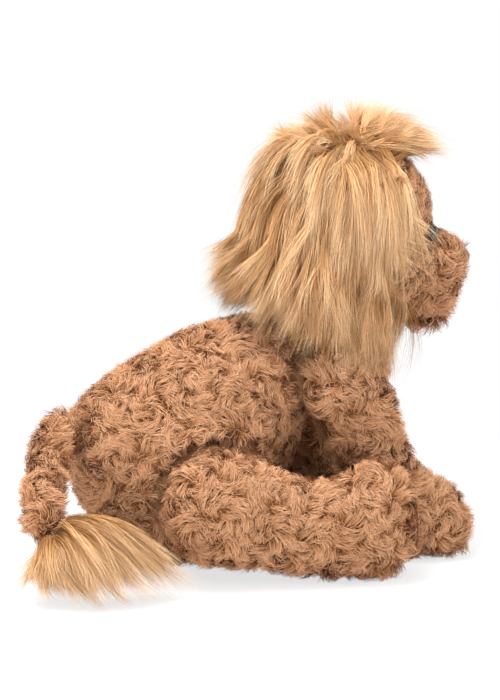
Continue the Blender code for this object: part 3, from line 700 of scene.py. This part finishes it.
FORMS = {label: (label, [label + "_cover", label + "_stuffing"], PILE_HEIGHT)
         for label in ("torso", "head", "neck", "foreleg_left", "foreleg_right",
                       "hind_leg_left", "hind_leg_right", "tail")}
FORMS["neck"] = ("neck", ["neck_filling"], PILE_HEIGHT / 2)
for thin, bearer, thickness in (("ear_", "head", SHORT_PILE), ("hind_sole_", "hind_leg_", NAP)):
    for word in ("left", "right"):
        FORMS[thin + word] = (bearer if bearer == "head" else bearer + word, [thin + word],
                              thickness)
THIN_FORMS = ("ear_left", "ear_right", "hind_sole_left", "hind_sole_right")
ENVELOPES = {label: envelope(names, THIN_VOXEL if label in THIN_FORMS else SKIN_VOXEL)
             for label, (_, names, _) in FORMS.items()}
TREES = {label: tree_of(mesh) for label, mesh in ENVELOPES.items()}
BLOCKERS = {label: (TREES[label], mesh_arrays(mesh)[0].min(axis=0),
                    mesh_arrays(mesh)[0].max(axis=0))
            for label, mesh in ENVELOPES.items()}
HEAD_CENTRE = np.array([0.0, -0.130, 0.213])


def head_angles(points):
    """Angle from the muzzle's direction, and angle round it from straight up, in degrees."""
    away = unit(points - HEAD_CENTRE)
    polar = np.degrees(np.arccos(np.clip(-away[:, 1], -1, 1)))
    return polar, np.degrees(np.arctan2(away[:, 0], away[:, 2]))


def face_share(points):
    """How deep the head's skin lies: less round the eyes and on the muzzle."""
    polar, _ = head_angles(points)
    return np.interp(polar, [0, 25, 60, 80], [0.50, 0.60, 0.80, 1.0])


def face_pile(points):
    """Pile height over the head: as its cover's, and fuller on the chin."""
    polar, round_angle = head_angles(points)
    chin = np.clip((np.abs(round_angle) - 110) / 40, 0, 1) * np.clip((70 - polar) / 20, 0, 1)
    return face_share(points) + 0.75 * chin


def mane_front(round_angle):
    """The angle from the muzzle's direction at which the mane starts."""
    return np.interp(np.abs(round_angle), [0, 25, 45, 75, 100, 150], [80, 85, 101, 107, 106, 103])


def head_keeps_curls(points):
    """Curls show on the face and under the chin, and not far into the mane."""
    polar, round_angle = head_angles(points)
    return (polar < mane_front(round_angle) + 14) | (np.abs(round_angle) > 140)


def dress_covers():
    """A skin and curly pile for every cover."""
    for index, (label, (body, names, height)) in enumerate(FORMS.items()):
        mesh = ENVELOPES[label]
        points, _, _ = mesh_arrays(mesh)
        head, sole = label == "head", label.startswith("hind_sole")
        depth = height * (face_share(points) if head else THIN_DEPTH if label in THIN_FORMS else 1.0)
        skin = drawn_in(mesh, depth)
        piece = new_object(label + "_skin", skin, body, BACKING)
        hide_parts(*names)
        others = [blocker for other, blocker in BLOCKERS.items()
                  if other != label and other not in THIN_FORMS]
        curly_pile(label + "_pile", body, skin, [] if sole else others, SOLE if sole else CURLY,
                   100 + 10 * index, height=height,
                   height_at=face_pile if head else None,
                   keep=head_keeps_curls if head else None)


# Mane and tuft

WHORL = np.array([0.022, -0.112, 0.287])
MANE_DEPTH = 0.020
ROOT_SPACING = 0.0062
LOWEST_ROOT = 0.170
EDGE_SPREAD = 0.022
CROWN_REACH = 0.038
CROWN_HALF_WIDTH = 0.034
OVER_CROWN = 0.300
EARS = ("ear_left", "ear_right")
BELOW_MANE = ("torso", "foreleg_left", "foreleg_right")
WISPS = 14
EAR_LOCKS = 84
FORELOCKS = 110
CROWN_SPIKES = 70
CROWN_FALLS = 80
HANGING_ROOTS = 0.245
MANE_AXIS = np.array([0.0, -0.105])
MANE_TURNS = (0, 45, 90, 115)
MANE_EDGE = (0.170, 0.140, 0.116, 0.112)
MANE_REACH = (0.106, 0.099, 0.080, 0.073)
FRONT_TURN = 89
FORELOCK_TIP = np.array([0.0, -0.171, 0.282])


def mane_roots(random):
    """Roots on the head for the mane's locks, with the surface's way out at each."""
    places, facing = scatter(ENVELOPES["head"], ROOT_SPACING, random)
    polar, round_angle = head_angles(places)
    kept = (polar > mane_front(round_angle)) & (places[:, 2] > LOWEST_ROOT) \
        & ((np.abs(round_angle) < 150) | (polar > 150))
    return places[kept], facing[kept]


def hanging(root, random):
    """A guide that hangs from the head's side or back down to the mane's lower edge."""
    trees = [TREES[label] for label in BELOW_MANE]
    offset = root[:2] - MANE_AXIS
    turn = math.degrees(math.atan2(offset[0], offset[1]))
    higher = (root[2] - LOWEST_ROOT) / (HANGING_ROOTS - LOWEST_ROOT)
    drift = random.normal(0, 7) + np.clip(turn, -FRONT_TURN, FRONT_TURN) - turn
    lowest = np.interp(abs(turn), MANE_TURNS, MANE_EDGE) + EDGE_SPREAD * higher \
        + random.uniform(0, EDGE_SPREAD)
    layer = 0.80 + 0.20 * higher - random.uniform(0, 0.05) - 0.20 * (1 - higher) * (abs(turn) > 70)
    near_axis = np.linalg.norm(offset)
    behind = math.cos(math.radians(min(90, abs(turn))))
    path = []
    for share in np.linspace(0, 1, len(LONG_LEVELS)):
        height = root[2] + (min(lowest, root[2] - 0.020) - root[2]) * share
        angle = turn + drift * share
        leave = behind * share + (1 - behind) * math.sin(share * math.pi / 2)
        reach = layer * np.interp(abs(angle), MANE_TURNS, MANE_REACH)
        stand = near_axis + (reach - near_axis) * leave
        angle = math.radians(angle)
        place = Vector((MANE_AXIS[0] + math.sin(angle) * stand,
                        MANE_AXIS[1] + math.cos(angle) * stand, height))
        path.append(kept_off(place, trees, LOCK_CLEARANCE))
    return path


def forelock(root, random, skin):
    """A guide from the crown's front, forwards and nearly level over the forehead."""
    tip = FORELOCK_TIP + random.normal(0, 1, 3) * np.array([0.008, 0.007, 0.005])
    tip[0] += 0.9 * root[0]
    rise = np.array([0.0, 0.0, random.uniform(0.004, 0.028)])
    return swept(root, (root + tip) / 2 + rise, tip, [skin])


def spike(root, out, flow, upright, random, trees):
    """A short lock that stands up from the crown and leans away from it, and its facing."""
    level = np.array([1.0, 1.0, 0.0])
    lean = unit(unit(flow) * level + 0.5 * random.normal(0, 1, 3) * level)
    length = random.uniform(0.029, 0.040) - 0.007 * max(0.0, lean[1])
    start = lean * (1 - 0.75 * upright) + out * (0.2 + 1.1 * upright)
    path = comb(root, start, length, 0.08, 0.0, 0.0, trees)
    return path, lean + 0.3 * out


def ridge(root):
    """The nearest place of the short line on the crown that the locks run away from."""
    return np.array([np.clip(root[0], -WHORL[0], WHORL[0]), WHORL[1], WHORL[2]])


def rooted_lock(root, out, stray, random, skin, trees):
    """The lock of one root by where it lies on the head: its guide, facing and shade."""
    away = np.linalg.norm(root - ridge(root))
    flow = tangent(root - ridge(root), out)
    down = tangent(np.array([0.0, 0.0, -1.0]), out)
    crown = max(0.0, 1 - away / CROWN_REACH)
    ahead = np.clip((WHORL[1] + 0.022 - root[1]) / 0.030, 0, 1)
    side = min(1.0, abs(root[0]) / 0.040) * (1 - crown) * (0.25 + 0.75 * ahead)
    back = max(0.0, out[1]) ** 0.7
    wild = random.normal(0, 1, 3)
    layer = random.uniform(0, 1) ** 0.8
    flow = unit(flow * (1 - 0.65 * side) + down * 1.2 * side + 0.30 * stray
                + (0.14 + 0.36 * crown) * wild)
    on_top = abs(root[0]) < CROWN_HALF_WIDTH
    if abs(root[0]) > CROWN_HALF_WIDTH:
        flow[1] = max(flow[1], -0.12)
    within = root - out * PILE_HEIGHT
    # Outer layers of the mane are lighter and inner ones darker: painted shade under the outer
    # locks.
    bright = 0.02 + 0.50 * layer + random.normal(0, 0.20) + 0.15 * stray[0]
    if root[2] < HANGING_ROOTS:
        return hanging(within, random), out, bright
    # Forelocks and standing spikes get lighter shades, more so the more upright: painted light on
    # the top of the head.
    if on_top and ahead > 0 and random.uniform(0, 1) < 0.6:
        return forelock(within, random, skin), out, bright + 0.35
    if on_top and max(crown, ahead) > 0:
        upright = random.uniform(0.2, 1)
        path, lean = spike(within, out, flow, upright, random, trees)
        return path, lean, bright + (0.25 + 0.40 * upright)
    cling = np.interp(root[2], [0.19, 0.22, 0.25], [0.0, 0.12, 0.55]) * (0.25 + 0.75 * back)
    middle = back * max(0.0, 1 - abs(root[0]) / 0.042)
    fullness = max(0.15, 1 - away / 0.080) * (1 - 0.9 * min(1.0, 1.3 * back))
    depth = MANE_DEPTH * (0.2 + 0.8 * layer) * (fullness + 0.8 * middle)
    length = random.uniform(0.074, 0.112) * (1 - 0.16 * back)
    start = flow + out * (0.20 * (1 - crown) - 0.24 * back)
    path = comb(within, start, length, 0.32, depth, cling, trees)
    # Locks near the crown are lighter: painted light on the top of the head.
    return path, out, bright + 0.15 * crown


def on_crown(skin, random, half_width, front, rear):
    """A random place on the crown, and the way out of the skin there."""
    above = Vector((random.uniform(-half_width, half_width), random.uniform(front, rear),
                    OVER_CROWN))
    near, out, _, _ = skin.find_nearest(above)
    return np.array(near), np.array(out)


def added_forelock(random, skin):
    """A further lock over the forehead: its guide, facing and shade."""
    near, out = on_crown(skin, random, 0.032, -0.140, -0.096)
    # Forelocks take light shades: painted light on the top of the head.
    return forelock(near, random, skin), out, random.uniform(0.45, 0.95)


def added_spike(random, skin, trees):
    """A further lock that stands on the crown: its guide, facing and shade."""
    near, out = on_crown(skin, random, 0.030, -0.138, -0.094)
    upright = random.uniform(0.2, 1)
    path, lean = spike(near, out, near - ridge(near), upright, random, trees)
    # Spikes are lighter the more upright they stand: painted light on the top of the head.
    return path, lean, random.uniform(0.35, 0.60) + 0.35 * upright


def crown_fall(random, skin, trees):
    """A lock that falls over the step behind the crown: its guide, facing and shade."""
    near, out = on_crown(skin, random, 0.045, -0.112, -0.084)
    outwards = np.array([near[0] * 1.2, near[1] - WHORL[1] + 0.010, 0.0])
    start = unit(outwards) + 0.25 * random.normal(0, 1, 3)
    layer = random.uniform(0, 1)
    path = comb(near, start + out * 0.35, random.uniform(0.058, 0.096), 0.34,
                0.005 + 0.008 * layer, 0.5, trees)
    # Locks lying further out are lighter and inner ones darker: painted shade under the outer locks.
    return path, out + 0.5 * start, 0.30 + 0.40 * layer + random.normal(0, 0.15)


def ear_lock(side, share, random, skin):
    """A lock from the crown's side that lies over an ear: its guide, facing and shade."""
    place = -0.125 + 0.038 * share
    layer = random.uniform(0, 1)
    root = np.array([side * random.uniform(0.010, 0.030), place, 0.282])
    bend = np.array([side * (0.070 + 0.036 * layer), place + 0.002, 0.284 + 0.012 * layer])
    tip = np.array([side * (0.062 + 0.024 * layer), place + 0.006, 0.200]) \
        + random.normal(0, 0.006, 3)
    path = swept(root, bend, tip, [skin, TREES["ear_right"], TREES["ear_left"]], 0.005)
    return path, np.array([side * 0.6, -0.1, 0.75]), random.uniform(0.25, 0.75)


def mane_guides():
    """Guides that run away from the crown and down, and lie over the head and shoulders."""
    random = np.random.default_rng(41)
    roots, facing = mane_roots(random)
    skin = tree_of(drawn_in(ENVELOPES["head"], PILE_HEIGHT))
    trees = [(skin, None)] + [(TREES[label], LOCK_CLEARANCE) for label in EARS + BELOW_MANE]
    stray = lattice_noise(roots, 0.012, 42, 3)
    locks = [rooted_lock(*row, random, skin, trees) for row in zip(roots, facing, stray)]
    locks += [added_forelock(random, skin) for _ in range(FORELOCKS)]
    locks += [added_spike(random, skin, trees) for _ in range(CROWN_SPIKES)]
    locks += [crown_fall(random, skin, trees) for _ in range(CROWN_FALLS)]
    locks += [ear_lock(side, share, random, skin) for side in (-1, 1)
              for share in np.linspace(0, 1, EAR_LOCKS)]
    guides, normals, shades = zip(*locks)
    return np.array(guides), unit(np.array(normals)), np.array(shades)


def cheek_wisps():
    """A few thin pale strands that stray from the mane's front over each cheek."""
    random = np.random.default_rng(45)
    guides, normals = [], []
    for side in (-1, 1):
        for _ in range(WISPS):
            fall = random.uniform(0, 1)
            root = np.array([side * 0.060, -0.110, 0.256 - 0.040 * fall])
            tip = np.array([side * (0.047 + 0.006 * fall), -0.160 + 0.016 * fall,
                            0.226 - 0.040 * fall]) + random.normal(0, 0.005, 3)
            bend = (root + tip) / 2 + np.array([side * 0.014, -0.004, 0.006])
            guides.append(swept(root, bend, tip, [TREES["head"]], 0.004))
            normals.append(np.array([side * 0.8, -0.5, 0.2]))
    shades = random.uniform(0.75, 1.0, len(guides))
    long_pile("mane_wisps", "head", np.array(guides), unit(np.array(normals)),
              np.full(len(guides), 0.005), shades, LONG, 46, strands=6)


def dress_mane():
    """The mane's locks, and the wisps over the cheeks."""
    guides, normals, shades = mane_guides()
    spread = np.random.default_rng(44).uniform(0.0028, 0.0052, len(guides))
    pieces = long_pile("mane_pile", "head", guides, normals, spread, shades, LONG,
                       43, shortest=0.70)
    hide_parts("mane_crown", "mane_left", "mane_right", "mane_back")
    cheek_wisps()


TUFT_ROOT = np.array([-0.079, 0.131, 0.048])
TUFT_LOW = np.array([-0.0745, 0.144, 0.030])
TUFT_HIGH = np.array([-0.092, 0.100, 0.064])
TUFT_EDGE = np.array([[-0.090, 0.142, 0.012], [-0.150, 0.104, -0.004], [-0.100, 0.034, 0.002]])
TUFT_LOCKS = 280


def dress_tuft():
    """The tail's tuft: long pile that bursts from the tail's end and falls to the floor."""
    random = np.random.default_rng(51)
    guides, normals, shades = [], [], []
    trees = [TREES["hind_leg_right"], TREES["torso"]]
    for _ in range(TUFT_LOCKS):
        share, layer = random.uniform(0, 1), random.uniform(0, 1)
        weights = np.array([(1 - share) ** 2, 2 * share * (1 - share), share ** 2])
        tip = weights @ TUFT_EDGE
        bend = TUFT_LOW + (TUFT_HIGH - TUFT_LOW) * share + random.normal(0, 0.003, 3)
        axis = unit(tip - TUFT_ROOT)
        across = unit(np.cross(axis, [0, 0, 1.0]))
        over = np.cross(across, axis)
        root = TUFT_ROOT + unit(bend - TUFT_ROOT) * 0.006 + over * (layer - 0.6) * 0.016
        bend = bend + over * (layer - 0.35) * 0.026 + axis * 0.012
        tip = root + (tip - root) * random.uniform(0.84, 1.10) + random.normal(0, 0.003, 3) \
            + over * layer * 0.006
        guides.append(swept(root, bend, tip, trees))
        normals.append(unit(over + 0.3 * across * random.normal()))
        # Upper layers of the tuft are lighter and lower ones darker: painted shade under the outer
        # locks.
        shades.append(0.22 + 0.50 * layer + random.normal(0, 0.14))
    pieces = long_pile("tail_tuft_pile", "tail", np.array(guides), np.array(normals),
                       np.full(len(guides), 0.0040), np.array(shades), LONG, 52,
                       loose=0.0026)
    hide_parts("tail_tuft")


# Face

def turned(rings, sides):
    """Points of a turned form: rings of radius and height, with a UV of radius and turn."""
    builder = bmesh.new()
    layer = builder.loops.layers.uv.new("Disc")
    rows = [[builder.verts.new((radius * math.cos(math.tau * k / sides),
                                radius * math.sin(math.tau * k / sides), height))
             for k in range(sides)] for radius, height in rings]
    widest = max(radius for radius, _ in rings)
    for low, high in zip(range(len(rows) - 1), range(1, len(rows))):
        for k in range(sides):
            after = (k + 1) % sides
            face = builder.faces.new((rows[low][k], rows[low][after], rows[high][after],
                                      rows[high][k]))
            face.smooth = True
            for loop, (ring, turn) in zip(face.loops, ((low, k), (low, k + 1), (high, k + 1),
                                                       (high, k))):
                loop[layer].uv = (rings[ring][0] / widest, turn / sides)
    for row in (rows[0], rows[-1]):
        face = builder.faces.new(row if row is rows[-1] else row[::-1])
        for loop in face.loops:
            loop[layer].uv = (0.0 if row is rows[-1] else 1.0, 0.5)
    return mesh_from(builder, "turned")


def eye_material():
    """Glossy eye: black pupil, a dark blue-green iris with fine rays, a black rim."""
    made, shader = principled("eye_gloss", 0.10, 0.0, 0.4, 0.15)
    tree = made.node_tree
    uv = new_node(tree, "UVMap", uv_map="Disc")
    split = new_node(tree, "SeparateXYZ")
    rays = new_node(tree, "TexNoise", {"Scale": 1.0})
    stretch = new_node(tree, "VectorMath", {1: (2.0, 70.0, 1.0)}, operation="MULTIPLY")
    disc = ramp_node(tree, [(0.0, (0.003, 0.003, 0.003)), (0.44, (0.003, 0.004, 0.004)),
                            (0.50, (0.020, 0.085, 0.080)), (0.80, (0.030, 0.120, 0.105)),
                            (0.88, (0.004, 0.006, 0.006)), (1.0, (0.003, 0.003, 0.003))])
    shade = ramp_node(tree, [(0.35, (0.45, 0.45, 0.45)), (0.65, (1.0, 1.0, 1.0))])
    mix = new_node(tree, "Mix", {"Factor": 1.0}, data_type="RGBA", blend_type="MULTIPLY")
    wire(tree, uv, "UV", split, "Vector")
    wire(tree, uv, "UV", stretch, 0)
    wire(tree, stretch, "Vector", rays, "Vector")
    wire(tree, split, "X", disc, "Fac")
    wire(tree, rays, "Fac", shade, "Fac")
    for ramp, socket in zip((disc, shade), MIX_COLOURS):
        wire(tree, ramp, "Color", mix, socket)
    wire(tree, mix, MIX_RESULT, shader, "Base Color")
    return made


def node_axis(name, towards):
    """A turned CAD node's axis, pointing towards a way, and its furthest place along it."""
    points, _, _ = mesh_arrays(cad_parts[name].data)
    points = np.unique(points.round(6), axis=0)
    centre = points.mean(axis=0)
    _, _, ways = np.linalg.svd(points - centre, full_matrices=False)
    axis = max((way * np.sign(way @ towards) for way in ways), key=lambda way: way @ towards)
    return axis, centre + axis * ((points - centre) @ axis).max()


EYE_RADIUS = 0.0053
EYE_DOME = 0.0030
EYE_SIDES = 48


def dress_eyes():
    """Domed eyes in place of the plain ones."""
    finish = eye_material()
    for word, side in (("right", -1), ("left", 1)):
        axis, top = node_axis("eye_" + word, np.array([side * 0.66, -0.66, 0.30]))
        rings = [(EYE_RADIUS * 0.7, -0.0030), (EYE_RADIUS * 0.95, -0.0028), (EYE_RADIUS, -0.0018)]
        for angle in range(0, 90, 6):
            turn = math.radians(angle)
            rings.append((EYE_RADIUS * math.cos(turn), EYE_DOME * math.sin(turn)))
        mesh = turned(rings, EYE_SIDES)
        base = Vector(top) - Vector(axis) * (EYE_DOME - 0.0009)
        turn = Vector((0, 0, 1)).rotation_difference(Vector(axis)).to_matrix().to_4x4()
        mesh.transform(Matrix.Translation(base) @ turn)
        piece = new_object("eye_%s_glossy" % word, mesh, "head", finish)
        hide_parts("eye_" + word)


def dress_nose():
    """The nose: satin stitch over a small pad."""
    low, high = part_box("nose")
    columns, rows, ridges = 160, 40, 15
    builder = bmesh.new()
    middle = Vector((0, high.y + 0.001, (low.z + high.z) / 2))
    half = Vector(((high.x - low.x) / 2, high.y - low.y + 0.001, (high.z - low.z) / 2))
    points = []
    for row in range(1, rows):
        polar = math.pi * row / rows
        ring = []
        for column in range(columns):
            turn = math.tau * column / columns
            way = Vector((math.sin(polar) * math.cos(turn), math.sin(polar) * math.sin(turn),
                          math.cos(polar)))
            way.x *= 1.0 - 0.22 * max(0.0, -way.z)
            ridge = 0.93 + 0.08 * abs(math.sin(math.pi * ridges * (way.x + 1) / 2))
            ring.append(builder.verts.new(middle + Vector((way.x * half.x, way.y * half.y * ridge,
                                                           way.z * half.z * ridge))))
        points.append(ring)
    for near, far in zip(points, points[1:]):
        for column in range(columns):
            after = (column + 1) % columns
            builder.faces.new((near[column], far[column], far[after], near[after])).smooth = True
    builder.faces.new(points[0])
    builder.faces.new(points[-1][::-1])
    mesh = mesh_from(builder, "nose")
    piece = new_object("nose_stitching", mesh, "head", THREAD)
    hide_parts("nose")


def finish_kept_nodes():
    """Materials for the CAD nodes that stay."""
    kept = {"bead_pouch": POUCH_CLOTH, "eye_washer_left": WASHER, "eye_washer_right": WASHER,
            "mouth_stitch": THREAD}
    for name, finish in kept.items():
        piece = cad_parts[name]
        piece.data.materials.clear()
        piece.data.materials.append(finish)


# Stage, light and camera

def fade_to_white(tree, shader):
    """What the camera sees of the floor turns white away from the object."""
    place = new_node(tree, "TexCoord")
    far = new_node(tree, "VectorMath", operation="LENGTH")
    fade = new_node(tree, "MapRange", {"From Min": 0.15, "From Max": 0.60, "To Min": 0.72},
                    interpolation_type="SMOOTHSTEP")
    path = new_node(tree, "LightPath")
    seen = new_node(tree, "Math", operation="MULTIPLY")
    white = new_node(tree, "Emission")
    mix = new_node(tree, "MixShader")
    wire(tree, place, "Object", far, 0)
    wire(tree, far, "Value", fade, "Value")
    wire(tree, fade, "Result", seen, 0)
    wire(tree, path, "Is Camera Ray", seen, 1)
    wire(tree, seen, "Value", mix, "Fac")
    wire(tree, shader, "BSDF", mix, 1)
    wire(tree, white, "Emission", mix, 2)
    wire(tree, mix, "Shader", tree.nodes["Material Output"], "Surface")


def build_stage():
    """A pale floor, a white world and soft lamps."""
    floor_finish, shader = principled("floor_paper", 0.9, 0.0, 0.1)
    shader.inputs["Base Color"].default_value = (0.93, 0.93, 0.93, 1.0)
    fade_to_white(floor_finish.node_tree, shader)
    builder = bmesh.new()
    bmesh.ops.create_grid(builder, x_segments=2, y_segments=2, size=6.0)
    mesh = mesh_from(builder, "floor")
    mesh.materials.append(floor_finish)
    floor = placed("floor", mesh)

    world = bpy.data.worlds.new("studio")
    world.use_nodes = True
    tree = world.node_tree
    light = tree.nodes["Background"]
    light.inputs["Color"].default_value = (1.0, 1.0, 1.0, 1.0)
    light.inputs["Strength"].default_value = 0.76
    seen = new_node(tree, "Background")
    path = new_node(tree, "LightPath")
    mix = new_node(tree, "MixShader")
    wire(tree, path, "Is Camera Ray", mix, "Fac")
    wire(tree, light, "Background", mix, 1)
    wire(tree, seen, "Background", mix, 2)
    wire(tree, mix, "Shader", tree.nodes["World Output"], "Surface")
    bpy.context.scene.world = world

    def lamp(name, place, aim, size, watts):
        data = bpy.data.lights.new(name, "AREA")
        data.size = size
        data.energy = watts
        made = placed(name, data)
        made.location = place
        way = Vector(aim) - Vector(place)
        made.rotation_euler = way.to_track_quat("-Z", "Y").to_euler()

    lamp("top_light", (-0.3, 0.5, 1.9), (0, 0, 0.1), 1.1, 40)
    lamp("key_light", (-1.7, 0.9, 1.5), (0, 0, 0.15), 1.0, 20)
    lamp("front_light", (-1.2, -1.7, 0.9), (0, 0, 0.15), 1.4, 7)


def build_camera():
    """The camera at the photograph's angle."""
    azimuth, elevation = math.radians(CAMERA_AZIMUTH), math.radians(CAMERA_ELEVATION)
    right = Vector((math.cos(azimuth), math.sin(azimuth), 0))
    up = Vector((-math.sin(azimuth) * math.sin(elevation),
                 math.cos(azimuth) * math.sin(elevation), math.cos(elevation)))
    back = right.cross(up)
    data = bpy.data.cameras.new("camera")
    data.sensor_width = data.sensor_height = SENSOR * MILLIMETRES
    data.sensor_fit = "AUTO"
    data.lens = SENSOR * MILLIMETRES * CAMERA_DISTANCE / FRAME_HEIGHT
    data.clip_start, data.clip_end = CLIP_RANGE
    camera = placed("camera", data)
    place = right * CAMERA_AIM[0] + up * CAMERA_AIM[1] + back * CAMERA_DISTANCE
    camera.matrix_world = Matrix.Translation(place) @ Matrix((right, up, back)).transposed().to_4x4()
    bpy.context.scene.camera = camera


dress_covers()
dress_mane()
dress_tuft()
dress_eyes()
dress_nose()
finish_kept_nodes()
build_stage()
build_camera()
bpy.context.scene.view_settings.view_transform = "Standard"
